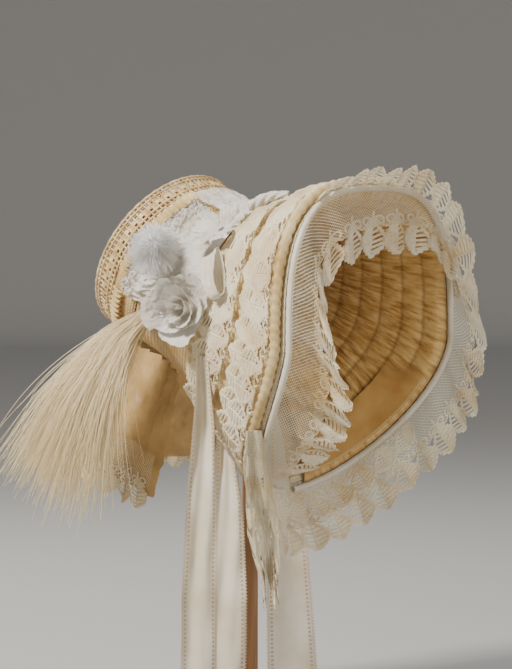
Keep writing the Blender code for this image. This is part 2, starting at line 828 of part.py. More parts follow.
def build_ties():
    over = STRAW + SILK_LOFT + SILK_GATHER + CLOTH
    build_tie("tie_back", lifted(0.52, math.radians(-112), over + 0.0066), TIE_BACK)
    build_tie("tie_front", lifted(0.62, math.radians(-161.5), 0), TIE_FRONT)
    build_tie("tie_far", lifted(0.40, math.radians(139), over + 0.0043), TIE_FAR)


# Stand


def head_rise(reach):
    """Height of the head's dome above its underside."""
    return HEAD_THICKNESS * (0.22 + 0.78 * math.sqrt(max(0, 1 - (reach / HEAD_RADIUS) ** 2)))


def head_underside():
    """The height of the head's underside that lets its dome just reach the lining."""
    room = LINING_GAP + CLOTH + SHIRR_DEPTH + CLEARANCE * 0.5
    heights = []
    for i in range(61):
        for j in range(-12, 13):
            point = lifted(i / 80, math.radians(5 * j), -room)
            reach = math.hypot(point.x, point.y)
            if reach < HEAD_RADIUS:
                heights.append(point.z - head_rise(reach))
    return min(heights)


def build_stand():
    under = head_underside()
    top = under + HEAD_THICKNESS
    edge = BASE_THICKNESS * 0.3
    base = (
        (0, 0),
        (BASE_RADIUS - edge * 0.5, 0),
        (BASE_RADIUS, edge * 0.5),
        (BASE_RADIUS, BASE_THICKNESS - edge),
        (BASE_RADIUS - edge, BASE_THICKNESS),
        (0, BASE_THICKNESS),
    )
    head = [(0, under), (HEAD_RADIUS * 0.92, under), (HEAD_RADIUS, under + HEAD_THICKNESS * 0.22)]
    for degrees in (25, 45, 65):
        angle = math.radians(degrees)
        reach = HEAD_RADIUS * math.cos(angle)
        head.append((reach, under + head_rise(reach)))
    head.append((0, top))
    here = Matrix.Identity(4)
    lathe("stand_base", base, 30, here, "wood")
    lathe("stand_head", head, 24, here, "wood")
    low = BASE_THICKNESS + CLEARANCE
    high = under - CLEARANCE
    post = ((0, low), (POST_RADIUS, low), (POST_RADIUS, high), (0, high))
    lathe("stand_post", post, 16, here, "wood")


for old in list(bpy.data.objects):
    bpy.data.objects.remove(old)
collection = bpy.data.collections.new("poke_bonnet")
bpy.context.scene.collection.children.link(collection)

build_crown()
build_braid()
build_brim()
build_lining()
build_lining_band()
build_brim_silk()
build_binding()
build_roll()
build_rim_laces()
build_tier("lace_tier_front", 0.915, 0.70, 0.0068, 0.0094, 14, 7, 0.0012)
build_tier("lace_tier_back", 0.66, 0.44, 0.0084, 0.0092, 13, 6.5, 0.0012)
build_jabot()
build_ruche("ruche_upper", -0.36, (-24, -86), 0.20, 9, 0.0096)
build_ruche("ruche_lower", -0.40, (-100, -140), 0.20, 7, 0.0040)
build_tulle_puff()
build_down()
build_petals()
build_rose()
build_ribbon_loop()
build_plume()
build_drape()
build_twist()
build_bavolet()
build_bavolet_lace()
build_ties()
build_stand()
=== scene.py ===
import math
import random
from math import cos, pi, radians, sin, tau

import bmesh
import bpy
from mathutils import Matrix, Vector, noise


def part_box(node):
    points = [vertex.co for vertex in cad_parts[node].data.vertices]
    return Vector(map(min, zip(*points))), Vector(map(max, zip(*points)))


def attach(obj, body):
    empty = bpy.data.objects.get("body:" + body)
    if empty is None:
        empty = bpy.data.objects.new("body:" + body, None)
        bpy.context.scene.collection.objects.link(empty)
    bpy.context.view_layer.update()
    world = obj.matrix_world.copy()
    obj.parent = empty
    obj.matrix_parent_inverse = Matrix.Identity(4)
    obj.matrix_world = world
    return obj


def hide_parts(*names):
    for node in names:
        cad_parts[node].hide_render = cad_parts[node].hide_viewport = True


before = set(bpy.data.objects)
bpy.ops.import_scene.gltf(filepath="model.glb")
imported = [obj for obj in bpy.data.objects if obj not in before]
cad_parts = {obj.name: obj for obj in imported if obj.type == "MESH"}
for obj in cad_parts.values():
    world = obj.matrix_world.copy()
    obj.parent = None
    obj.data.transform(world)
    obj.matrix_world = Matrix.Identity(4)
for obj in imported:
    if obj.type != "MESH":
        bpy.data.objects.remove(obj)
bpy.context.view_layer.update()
random.seed(7)

# the bonnet's form, in metres, the face looking along -Y

bonnet = dict(
    tipRadius=0.066,
    joinRadius=0.070,
    crownDepth=0.050,
    tilt=radians(30),
    tipY=0.092,
    tipZ=0.373,
    dome=0.009,
    rimHalfWidth=0.0925,
    rimHalfHeight=0.117,
    rimZ=0.310,
    rimY=-0.124,
    squareness=3.0,
    setBack=0.086,
    waist=0.010,
    neckBack=radians(130),
    neckFront=radians(177),
    straw=0.0015,
)
crownAxis = Vector((0, cos(bonnet["tilt"]), sin(bonnet["tilt"])))
crownUp = Vector((0, -sin(bonnet["tilt"]), cos(bonnet["tilt"])))
tipCentre = Vector((0, bonnet["tipY"], bonnet["tipZ"]))
joinCentre = tipCentre - crownAxis * bonnet["crownDepth"]
rimCentre = Vector((0, bonnet["rimY"], bonnet["rimZ"]))
up = Vector((0, 0, 1))
front = Vector((0, -1, 0))


def mix(a, b, share):
    return a + (b - a) * share


def smooth(low, high, x):
    t = min(max((x - low) / (high - low), 0), 1)
    return t * t * (3 - 2 * t)


def rimPoint(theta):
    power = bonnet["squareness"] if cos(theta) > 0 else 2.0
    across = abs(sin(theta)) / bonnet["rimHalfWidth"]
    along = abs(cos(theta)) / bonnet["rimHalfHeight"]
    reach = (across**power + along**power) ** (-1 / power)
    fall = max(0.0, -reach * cos(theta) / bonnet["rimHalfHeight"])
    return rimCentre + Vector((reach * sin(theta), bonnet["setBack"] * fall**1.5, reach * cos(theta)))


def crownPoint(depth, theta):
    centre = mix(joinCentre, tipCentre, depth)
    radius = mix(bonnet["joinRadius"], bonnet["tipRadius"], depth)
    return centre + Vector((radius * sin(theta), 0, 0)) + crownUp * radius * cos(theta)


def brimPoint(depth, theta):
    point = mix(crownPoint(0, theta), rimPoint(theta), depth)
    out = point - mix(joinCentre, rimCentre, depth)
    out.y = 0
    return point - out.normalized() * bonnet["waist"] * sin(pi * max(depth, 0) ** 0.8)


def skin(depth, theta):
    return crownPoint(-depth, theta) if depth < 0 else brimPoint(depth, theta)


def outward(depth, theta):
    low = depth - 0.01 if depth >= 0.01 or depth < 0 else depth
    along = skin(low + 0.01, theta) - skin(low, theta)
    around = skin(depth, theta + 0.01) - skin(depth, theta - 0.01)
    return along.cross(around).normalized()


def lifted(depth, theta, height):
    return skin(depth, theta) + outward(depth, theta) * height


def neckAngle(depth):
    return mix(bonnet["neckBack"], bonnet["neckFront"], max(depth, 0))


def lumps(x, y, z):
    return noise.noise(Vector((x, y, z)))


def table(columns, *rows):
    return [dict(zip(columns.split(), row)) for row in rows]


# shader helpers


class Value:
    def __init__(self, shader, socket):
        self.shader = shader
        self.socket = socket

    def math(self, operation, other=None, first=False):
        node = self.shader.tree.nodes.new("ShaderNodeMath")
        node.operation = operation
        slots = (1, 0) if first else (0, 1)
        self.shader.feed(node.inputs[slots[0]], self)
        if other is not None:
            self.shader.feed(node.inputs[slots[1]], other)
        return Value(self.shader, node.outputs[0])

    def __add__(self, other):
        return self.math("ADD", other)

    def __radd__(self, other):
        return self.math("ADD", other)

    def __sub__(self, other):
        return self.math("SUBTRACT", other)

    def __rsub__(self, other):
        return self.math("SUBTRACT", other, first=True)

    def __mul__(self, other):
        return self.math("MULTIPLY", other)

    def __rmul__(self, other):
        return self.math("MULTIPLY", other)

    def __truediv__(self, other):
        return self.math("DIVIDE", other)

    def __gt__(self, other):
        return self.math("GREATER_THAN", other)

    def __lt__(self, other):
        return self.math("LESS_THAN", other)

    def __pow__(self, other):
        return self.math("POWER", other)

    def sin(self):
        return self.math("SINE")

    def fract(self):
        return self.math("FRACT")

    def abs(self):
        return self.math("ABSOLUTE")

    def max(self, other):
        return self.math("MAXIMUM", other)

    def min(self, other):
        return self.math("MINIMUM", other)

    def range(self, low, high):
        limits = {"From Min": low, "From Max": high}
        node = self.shader.node("MapRange", {}, {"Value": self, **limits})
        return Value(self.shader, node.outputs[0])


class Shader:
    def __init__(self, name, colour, roughness, sheen=0.0, thin=0.0):
        self.material = bpy.data.materials.new(name)
        self.material.use_nodes = True
        self.tree = self.material.node_tree
        self.bsdf = self.tree.nodes["Principled BSDF"]
        self.bsdf.inputs["Base Color"].default_value = (*colour, 1)
        self.bsdf.inputs["Roughness"].default_value = roughness
        self.bsdf.inputs["Sheen Weight"].default_value = sheen
        self.bsdf.inputs["Specular IOR Level"].default_value = 0.35
        if thin:
            through = self.node("BsdfTranslucent", {}, {"Color": (*colour, 1)})
            both = self.node("MixShader", {}, {0: thin, 1: self.bsdf.outputs[0], 2: through.outputs[0]})
            self.tree.links.new(both.outputs[0], self.tree.nodes["Material Output"].inputs["Surface"])

    def feed(self, socket, value):
        if isinstance(value, Value):
            value = value.socket
        if isinstance(value, bpy.types.NodeSocket):
            self.tree.links.new(value, socket)
        else:
            socket.default_value = value

    def node(self, kind, settings, inputs):
        made = self.tree.nodes.new("ShaderNode" + kind)
        for key, value in settings.items():
            setattr(made, key, value)
        for key, value in inputs.items():
            self.feed(made.inputs[key], value)
        return made

    def place(self, uv=False):
        coordinates = self.node("TexCoord", {}, {})
        return coordinates.outputs["UV" if uv else "Object"]

    def axes(self, uv=False):
        parts = self.node("SeparateXYZ", {}, {0: self.place(uv)})
        return [Value(self, output) for output in parts.outputs]

    def cloud(self, scale, detail=3, uv=False, stretch=(1, 1, 1)):
        spread = self.node("VectorMath", {"operation": "MULTIPLY"}, {0: self.place(uv), 1: stretch})
        settings = {"Scale": scale, "Detail": detail, "Roughness": 0.55}
        made = self.node("TexNoise", {}, {"Vector": spread.outputs[0], **settings})
        return Value(self, made.outputs[0])

    def blend(self, share, first, second):
        made = self.node("Mix", {"data_type": "RGBA"}, {"Factor": share})
        for slot, colour in ((6, first), (7, second)):
            self.feed(made.inputs[slot], (*colour, 1) if isinstance(colour, tuple) else colour)
        return made.outputs[2]

    def paint(self, colour):
        self.feed(self.bsdf.inputs["Base Color"], colour)

    def bump(self, height, distance, strength=1.0):
        made = self.node("Bump", {}, {"Height": height, "Distance": distance, "Strength": strength})
        self.feed(self.bsdf.inputs["Normal"], made.outputs[0])

    def cut(self, alpha):
        self.feed(self.bsdf.inputs["Alpha"], alpha)


# mesh helpers


def baked(name, mesh):
    data = bpy.data.meshes.new(name)
    mesh.to_mesh(data)
    mesh.free()
    return data


def finish(name, data, material, node, smoothFaces=True, extra=None):
    made = bpy.data.objects.new(name, data)
    bpy.context.scene.collection.objects.link(made)
    data.materials.append(material)
    if extra:
        data.materials.append(extra)
    if smoothFaces:
        data.shade_smooth()
    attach(made, "root")
    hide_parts(node)
    return made


def gridMesh(name, point, columns, rows, size, close=False):
    # a grid bent to point(u, v); its UV map is in metres
    mesh = bmesh.new()
    bmesh.ops.create_grid(mesh, x_segments=columns, y_segments=rows, size=0.5)
    layer = mesh.loops.layers.uv.new("cloth")
    flat = {vert: (vert.co.x + 0.5, vert.co.y + 0.5) for vert in mesh.verts}
    for face in mesh.faces:
        for loop in face.loops:
            u, v = flat[loop.vert]
            loop[layer].uv = (u * size[0], v * size[1])
    for vert, (u, v) in flat.items():
        vert.co = point(u, v)
    if close:
        bmesh.ops.remove_doubles(mesh, verts=mesh.verts, dist=0.00002)
    bmesh.ops.recalc_face_normals(mesh, faces=mesh.faces)
    return baked(name, mesh)


def strandMesh(name, strands, rows, point):
    # separate ribbons from one grid, every second column left out
    mesh = bmesh.new()
    bmesh.ops.create_grid(mesh, x_segments=2 * strands - 1, y_segments=rows, size=0.5)
    cell = {vert: (round((vert.co.x + 0.5) * (2 * strands - 1)), vert.co.y + 0.5) for vert in mesh.verts}
    between = [face for face in mesh.faces if min(cell[vert][0] for vert in face.verts) % 2]
    bmesh.ops.delete(mesh, geom=between, context="FACES_ONLY")
    for vert, (column, along) in cell.items():
        vert.co = point(column // 2, column % 2, along)
    return baked(name, mesh)


def latheMesh(name, profile, steps, place):
    mesh = bmesh.new()
    verts = [mesh.verts.new((radius, 0, height)) for radius, height in profile]
    edges = [mesh.edges.new(pair) for pair in zip(verts, verts[1:])]
    spin = dict(cent=(0, 0, 0), axis=(0, 0, 1), angle=tau, steps=steps, use_merge=True)
    bmesh.ops.spin(mesh, geom=verts + edges, **spin)
    bmesh.ops.remove_doubles(mesh, verts=mesh.verts, dist=0.00001)
    lengths = [0]
    for a, b in zip(profile, profile[1:]):
        lengths.append(lengths[-1] + math.dist(a, b))
    layer = mesh.loops.layers.uv.new("straw")
    for face in mesh.faces:
        middle = face.calc_center_median()
        base = math.atan2(middle.y, middle.x)
        for loop in face.loops:
            co = loop.vert.co
            radius = math.hypot(co.x, co.y)
            turn = math.atan2(co.y, co.x)
            turn += tau * round((base - turn) / tau)
            nearest = min(range(len(profile)), key=lambda i: math.dist(profile[i], (radius, co.z)))
            loop[layer].uv = (turn * 0.066, lengths[nearest])
    bmesh.ops.transform(mesh, matrix=place, verts=mesh.verts)
    bmesh.ops.recalc_face_normals(mesh, faces=mesh.faces)
    return baked(name, mesh)


def tubeMesh(name, path, radius, around=12):
    # a soft tube along a path; radius(u, angle) may fold it
    sides = []
    side = None
    for i, point in enumerate(path):
        ahead = (path[min(i + 1, len(path) - 1)] - path[max(i - 1, 0)]).normalized()
        side = ahead.orthogonal().normalized() if side is None else (side - ahead * side.dot(ahead)).normalized()
        sides.append((side, ahead.cross(side)))
    last = len(path) - 1

    def point(u, v):
        i = min(int(round(u * last)), last)
        angle = tau * v
        first, second = sides[i]
        return path[i] + (first * cos(angle) + second * sin(angle)) * radius(u, angle)

    return gridMesh(name, point, last, around, (1, 1), close=True)


def joined(name, template, places):
    # copies of one small mesh, each vertex sent through its copy's place(x, y, z)
    verts = []
    faces = []
    spots = [vert.co.copy() for vert in template.vertices]
    corners = [tuple(face.vertices) for face in template.polygons]
    for place in places:
        start = len(verts)
        verts.extend(place(*spot) for spot in spots)
        faces.extend(tuple(start + corner for corner in face) for face in corners)
    data = bpy.data.meshes.new(name)
    data.from_pydata(verts, [], faces)
    slots = [face.material_index for face in template.polygons] * len(places)
    data.polygons.foreach_set("material_index", slots)
    data.update()
    return data


# materials

print("materials")

laceLook = dict(
    ivory=(0.94, 0.86, 0.66),
    tan=(0.66, 0.47, 0.22),
    netCell=0.0026,
    netThread=0.17,
    fillCell=640,
    fillThread=0.30,
)


def laceShader(name, net=False, fill=False):
    shader = Shader(name, laceLook["ivory"], 0.80, sheen=0.3, thin=0.20)
    stain = shader.cloud(26, 4).range(0.42, 0.72)
    shader.paint(shader.blend(stain, laceLook["ivory"], laceLook["tan"]))
    if net:
        x, y, _ = shader.axes(uv=True)
        first = ((x + y) / laceLook["netCell"]).fract() - 0.5
        second = ((x - y) / laceLook["netCell"]).fract() - 0.5
        threads = first.abs().max(second.abs())
        shader.cut(threads > 0.5 - laceLook["netThread"] * 0.5)
    elif fill:
        inputs = {"Vector": shader.place(), "Scale": laceLook["fillCell"]}
        cells = shader.node("TexVoronoi", {"feature": "DISTANCE_TO_EDGE"}, inputs)
        shader.cut(Value(shader, cells.outputs[0]) < laceLook["fillThread"])
    else:
        shader.bump(shader.cloud(2600, 2), 0.0003, 0.6)
    return shader.material


def silkShader(name, colour, dark, roughness, scale, grain):
    shader = Shader(name, colour, roughness, sheen=0.25, thin=0.15)
    shader.paint(shader.blend(shader.cloud(scale, 4).range(0.35, 0.70), colour, dark))
    shader.bump(shader.cloud(grain, 3) * 0.5 + shader.cloud(scale * 5, 3), 0.0006, 0.55)
    return shader.material


plait = dict(row=0.0034, stitch=0.0028)
ribbonLook = dict(dot=0.0034, line=0.0038, rib=0.0022, picot=0.0026)
tulleCell = 0.0012


def strawShader(name, edged=False):
    shader = Shader(name, (0.50, 0.32, 0.13), 0.40)
    x, y, _ = shader.axes(uv=True)
    row = (y / plait["row"]).fract()
    chevron = (row - 0.5).abs() * 2
    strand = ((x / plait["stitch"] + chevron * 0.8) * tau).sin() * 0.5 + 0.5
    shade = shader.cloud(60, 4).range(0.3, 0.7)
    gold = shader.blend(shade, (0.78, 0.60, 0.32), (0.52, 0.33, 0.13))
    colour = shader.blend((chevron > 0.9) * 0.50 + strand * 0.18, gold, (0.28, 0.16, 0.06))
    if edged:
        colour = shader.blend((y - 0.17).abs() < 0.010, colour, (0.80, 0.68, 0.45))
    shader.paint(colour)
    shader.bump(strand * 0.6 + (1 - chevron * chevron), 0.0007, 0.8)
    return shader.material


def satinShader(name, stripes=False, width=0.03):
    shader = Shader(name, (0.86, 0.82, 0.73), 0.30, sheen=0.15, thin=0.12)
    tone = shader.cloud(22, 3).range(0.35, 0.7)
    colour = shader.blend(tone, (0.84, 0.80, 0.70), (0.70, 0.60, 0.43))
    grain = shader.cloud(1400, 2, stretch=(1, 1, 0.1))
    if stripes:
        x, y, _ = shader.axes(uv=True)
        edge = 0.5 * width - (x - 0.5 * width).abs()
        dots = (y / ribbonLook["dot"] * tau).sin() > -0.2
        line = (edge - ribbonLook["line"]).abs() < 0.0009
        rib = (edge < ribbonLook["rib"]) * 0.35
        colour = shader.blend((line * dots * 0.75).max(rib), colour, (0.42, 0.29, 0.13))
        picot = (y / ribbonLook["picot"] * tau).sin() * 0.0006 + 0.0008
        shader.cut(edge > picot)
    shader.paint(colour)
    shader.bump(grain, 0.0004, 0.5)
    return shader.material


lace = laceShader("lace threads")
laceFill = laceShader("lace clothwork", fill=True)
net = laceShader("lace net", net=True)
creamSilk = silkShader("cream silk", (0.84, 0.68, 0.38), (0.55, 0.36, 0.13), 0.40, 30, 900)
taffeta = silkShader("amber taffeta", (0.62, 0.42, 0.18), (0.40, 0.25, 0.09), 0.30, 42, 1500)
whiteSilk = silkShader("white silk", (0.80, 0.78, 0.74), (0.62, 0.56, 0.47), 0.50, 70, 1600)
straw = strawShader("plaited straw")
brimStraw = strawShader("brim straw", edged=True)
satin = satinShader("satin")


def tulleShader():
    shader = Shader("tulle", (0.90, 0.89, 0.86), 0.9, sheen=0.2, thin=0.35)
    x, y, _ = shader.axes(uv=True)
    cell = ((x + y) / tulleCell).fract() - 0.5
    other = ((x - y) / tulleCell).fract() - 0.5
    folded = shader.cloud(70, 3, stretch=(1, 3, 1)).range(0.42, 0.62)
    shader.cut(((cell.abs().max(other.abs()) > 0.28) * 1.0).max(folded))
    return shader.material


tulle = tulleShader()

# stand

print("stand")
stand = dict(
    baseRadius=0.092,
    baseThickness=0.016,
    footRound=0.0024,
    topRound=0.0045,
    postRadius=0.0062,
    headRadius=0.045,
)


def woodShader():
    shader = Shader("stand wood", (0.30, 0.15, 0.07), 0.38)
    grain = shader.cloud(110, 5, stretch=(1, 0.10, 0.06))
    shader.paint(shader.blend(grain.range(0.35, 0.65), (0.40, 0.22, 0.10), (0.20, 0.09, 0.04)))
    shader.bump(grain, 0.0003, 0.4)
    return shader.material


def rounded(corner, radius, start, steps=6):
    found = []
    for i in range(steps + 1):
        angle = radians(start + 90 * i / steps)
        found.append((corner[0] + radius * cos(angle), corner[1] + radius * sin(angle)))
    return found


def buildStand():
    wood = woodShader()
    here = Matrix.Identity(4)
    radius, thick = stand["baseRadius"], stand["baseThickness"]
    foot, edge = stand["footRound"], stand["topRound"]
    base = [(0, 0), *rounded((radius - foot, foot), foot, -90)]
    base += [*rounded((radius - edge, thick - edge), edge, 0), (0, thick)]
    finish("standBase", latheMesh("standBase", base, 96, here), wood, "stand_base")
    low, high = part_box("stand_head")
    top, under = high[2], low[2]
    reach, tall = stand["headRadius"], top - under
    head = [(0, under), (reach * 0.92, under), (reach, under + tall * 0.22)]
    for i in range(1, 12):
        angle = radians(90 * i / 12)
        head.append((reach * cos(angle), under + tall * (0.22 + 0.78 * sin(angle))))
    head.append((0, top))
    finish("standHead", latheMesh("standHead", head, 64, here), wood, "stand_head")
    start, end, thin = thick + 0.0004, under - 0.0004, stand["postRadius"]
    post = [(0, start), (thin, start), (thin, end), (0, end)]
    made = finish("standPost", latheMesh("standPost", post, 40, here), wood, "stand_post")
    made.data.set_sharp_from_angle(angle=radians(40))


buildStand()

# straw

print("straw")


def buildCrown():
    depth, radius, join = bonnet["crownDepth"], bonnet["tipRadius"], bonnet["joinRadius"]
    wall, edge = bonnet["straw"], 0.005
    profile = [(0, depth + bonnet["dome"] + wall)]
    for i in range(1, 9):
        share = i / 8
        profile.append(((radius - edge * 0.6) * share, depth + bonnet["dome"] * (1 - share**2.2) + wall))
    profile += [(radius - 0.001, depth - 0.001), (radius + wall, depth - edge)]
    profile += [(mix(radius, join, i / 5) + wall, (depth - edge) * (1 - i / 5)) for i in range(1, 6)]
    profile += [(join, 0), (radius, depth - edge), (radius * 0.9, depth + 0.0005), (0, depth + bonnet["dome"])]
    place = Matrix.Translation(joinCentre) @ Matrix.Rotation(bonnet["tilt"] - pi / 2, 4, "X")
    finish("strawCrown", latheMesh("strawCrown", profile, 128, place), straw, "crown")


def buildBraid():
    # two edge cords, a middle cord and short rungs standing between them
    rungs = 104
    bands = (0.62, 0.70, 0.92, 0.99)

    def ringSpot(band, angle, rise):
        out = Vector((sin(angle), 0, 0)) + crownUp * cos(angle)
        lean = 0.0012 * (band - 0.6) / 0.4
        radius = mix(bonnet["joinRadius"], bonnet["tipRadius"], band) + 0.0024 + lean + rise
        return mix(joinCentre, tipCentre, band) + out * radius

    mesh = bmesh.new()
    for i in range(rungs):
        angle = tau * i / rungs
        for low, high, wide in ((bands[0], bands[3], 0.0009), (bands[1], bands[2], 0.0)):
            if not wide and i % 2:
                continue
            made = bmesh.ops.create_cube(mesh, size=1)["verts"]
            for vert in made:
                band = mix(low, high, vert.co.y + 0.5)
                shift = vert.co.x * 0.0011 if wide else vert.co.x * 0.0026 + 0.0018
                if not wide:
                    band = mix(bands[1], bands[2], 0.5 + vert.co.y * 0.35)
                vert.co = ringSpot(band, angle + shift / bonnet["tipRadius"], vert.co.z * 0.0008)
    for band, radius in zip(bands, (0.0008, 0.0010, 0.0010, 0.0012)):
        path = [ringSpot(band, tau * i / 160, 0.0002) for i in range(161)]
        tube = tubeMesh("cord", path, lambda u, angle, r=radius: r * (1 + 0.2 * sin(u * 700)), around=6)
        mesh.from_mesh(tube)
        bpy.data.meshes.remove(tube)
    shader = Shader("braid straw", (0.60, 0.42, 0.20), 0.40)
    tone = shader.cloud(140, 3).range(0.35, 0.65)
    shader.paint(shader.blend(tone, (0.80, 0.64, 0.38), (0.50, 0.33, 0.14)))
    finish("strawBraid", baked("strawBraid", mesh), shader.material, "crown_braid", smoothFaces=False)


def buildBrim():
    def point(u, v):
        layer = v < 0.5
        depth = 0.006 + 0.994 * (v * 2 if layer else 2 - v * 2)
        height = bonnet["straw"] * (0.0 if layer else 1.0)
        return lifted(depth, neckAngle(depth) * mix(-1, 1, u), height)

    finish("strawBrim", gridMesh("strawBrim", point, 140, 40, (0.5, 0.34)), brimStraw, "brim")


buildCrown()
buildBraid()
buildBrim()

# silk over the brim and the shirred lining

print("silk and lining")
brimSilk = dict(loft=0.0035, gather=0.0010, puffs=92, flat=(0.60, 0.095))
lining = dict(rings=9, depth=0.0026, pleats=120, gap=0.0026, cloth=0.0012, flat=(0.52, 0.17), band=(0.105, 0.038))


def buildBrimSilk():
    def point(u, v):
        depth = mix(0.36, 0.92, v)
        arch = smooth(0, 0.18, v) * (1 - smooth(0.84, 1, v) * 0.9)
        wander = lumps(u * 9, v * 2.5, 3)
        pleat = sin(brimSilk["puffs"] * pi * (u + wander * 0.012))
        height = 0.0022 + brimSilk["loft"] * arch * 0.85 + brimSilk["gather"] * (0.6 + 0.7 * pleat)
        height += 0.0012 * arch * lumps(u * 60, v * 5, 0)
        return lifted(depth, neckAngle(depth) * mix(-0.985, 0.985, u), height)

    made = finish("brimSilk", gridMesh("brimSilk", point, 420, 26, brimSilk["flat"]), creamSilk, "brim_silk")


def liningShader():
    shader = Shader("amber silk", (0.55, 0.33, 0.12), 0.42, sheen=0.25, thin=0.05)
    x, y, _ = shader.axes(uv=True)
    ring = (y / lining["flat"][1] * lining["rings"]).fract()
    # awayFromGroove is 1 on the middle of each shirred puff and 0 in the gathered groove between puffs
    awayFromGroove = 1 - (ring - 0.5).abs().range(0.38, 0.50)
    pleats = shader.cloud(290, 4, uv=True, stretch=(1, 0.17, 1))
    # painted shade: the lining is painted darker deeper inside the bonnet and lighter towards the rim
    deep = (y / lining["flat"][1]).range(0.15, 0.85)
    base = shader.blend(deep, (0.36, 0.15, 0.03), (0.70, 0.42, 0.12))
    # painted highlight: the pleat ridges, where the pleats bump is high, are painted lighter
    light = shader.blend(pleats.range(0.45, 0.62) * 0.7, base, (0.90, 0.66, 0.28))
    # painted shade: the pleat hollows, where the pleats bump is low, are painted dark
    hollowShaded = shader.blend(pleats.range(0.46, 0.34) * 0.60, light, (0.26, 0.10, 0.02))
    # painted shade: the grooves between the shirred puffs are painted dark
    shader.paint(shader.blend((1 - awayFromGroove) * 0.38, hollowShaded, (0.22, 0.08, 0.02)))
    shader.bump(pleats, 0.0026, 1.0)
    return shader.material


def buildLining():
    def point(u, v):
        depth = mix(0.05, 0.995, v)
        ring = (v * lining["rings"]) % 1
        closing = 1 - 0.70 * smooth(0.955, 1.0, v)
        puff = sin(pi * ring) ** 0.6
        wander = lumps(u * 30, v * lining["rings"] * 1.3, 1) * 0.5
        pleat = sin(lining["pleats"] * pi * u + wander * 5)
        height = -lining["gap"] - lining["cloth"] - lining["depth"] * puff * (0.75 + 0.35 * pleat * (1 - 0.5 * puff))
        height -= 0.0007 * (1 - puff) * (1 + pleat)
        jog = 0.004 * lumps(u * 26, v * lining["rings"], 7)
        theta = neckAngle(depth) * mix(-0.965, 0.965, u)
        return lifted(depth + jog * (1 - abs(2 * v - 1)), theta, height * closing)

    data = gridMesh("liningSilk", point, 480, 108, lining["flat"])
    made = finish("liningSilk", data, liningShader(), "lining")

    shader = Shader("amber band", (0.56, 0.34, 0.12), 0.36, sheen=0.2)
    x, y, _ = shader.axes(uv=True)
    # painted highlight: a thin light line is painted along the band near its outer edge
    edge = (y - 0.0368).abs() < 0.0007
    tone = shader.blend(shader.cloud(40, 3).range(0.3, 0.7), (0.70, 0.44, 0.15), (0.54, 0.29, 0.08))
    shader.paint(shader.blend(edge * 0.85, tone, (0.72, 0.56, 0.32)))
    shader.bump(shader.cloud(900, 2), 0.0003, 0.4)
    shader.cut((x + y * 0.5).range(0.006, 0.030))  # the upper end fades into the pleats

    def bandPoint(u, v):
        depth = mix(0.80, 0.985, v)
        inset = lining["gap"] + lining["cloth"] + 0.0034 + 0.0015
        inset += 0.0006 * lumps(u * 8, v * 3, 2)
        return lifted(depth, neckAngle(depth) * mix(0.62, 0.955, u), -inset)

    data = gridMesh("liningBand", bandPoint, 60, 14, lining["band"])
    made = finish("liningBand", data, shader.material, "lining_band")


def buildBinding():
    path = []
    for j in range(241):
        theta = bonnet["neckFront"] * mix(-1, 1, j / 240)
        ahead = (brimPoint(1.0, theta) - brimPoint(0.97, theta)).normalized()
        path.append(lifted(1.0, theta, bonnet["straw"] / 2 - 0.0010) + ahead * 0.0020)
    data = tubeMesh("rimBinding", path, lambda u, angle: 0.0025 * (1 + 0.05 * sin(u * 420 + angle)))
    finish("rimBinding", data, satin, "rim_binding")
    turns = [bonnet["neckFront"] * mix(-0.95, 0.95, j / 300) for j in range(301)]
    path = [lifted(0.960, theta, 0.0063) for theta in turns]

    def radius(u, angle):
        ends = min(1, 0.3 + 12 * min(u, 1 - u))
        twist = 0.16 * sin(u * 520 + 1.6 * sin(angle)) + 0.1 * lumps(u * 60, angle, 0)
        return 0.0039 * ends * (1 + twist)

    finish("rimRoll", tubeMesh("rimRoll", path, radius), creamSilk, "rim_roll")


buildBrimSilk()
buildLining()
buildBinding()

# lace

print("lace")
leaf = dict(width=0.0150, height=0.0270, border=0.0021, bar=0.0012, relief=0.0008, picot=0.0009, eyelet=0.0027)


def band(mesh, line, width, relief=1.0, picots=0.0):
    # a narrow raised strip that follows a flat line
    last = len(line) - 1
    for vert in bmesh.ops.create_grid(mesh, x_segments=last, y_segments=2, size=0.5)["verts"]:
        i = round((vert.co.x + 0.5) * last)
        side = vert.co.y
        a, b = line[max(i - 1, 0)], line[min(i + 1, last)]
        long = math.dist(a, b)
        reach = side * (width + (picots if i % 2 else -picots))
        bulge = leaf["relief"] * relief * (1 - abs(side) * 2)
        x, y = line[i]
        vert.co = (x - (b[1] - a[1]) / long * reach, y + (b[0] - a[0]) / long * reach, bulge)


def leafEdge(share, side):
    half = leaf["width"] * 0.49 * sin(pi * share**0.84) ** 1.20
    return (side * half + 0.16 * (share - 0.5) * leaf["height"], share * leaf["height"] * 0.90)


def leafSpine(share):
    return (0.16 * (share - 0.5) * leaf["height"], share * leaf["height"] * 0.90)


def straight(a, b, steps):
    return [tuple(mix(p, q, i / steps) for p, q in zip(a, b)) for i in range(steps + 1)]


def circle(centre, radius, steps):
    turns = [tau * i / steps for i in range(steps + 1)]
    return [(centre[0] + radius * cos(turn), centre[1] + radius * sin(turn)) for turn in turns]


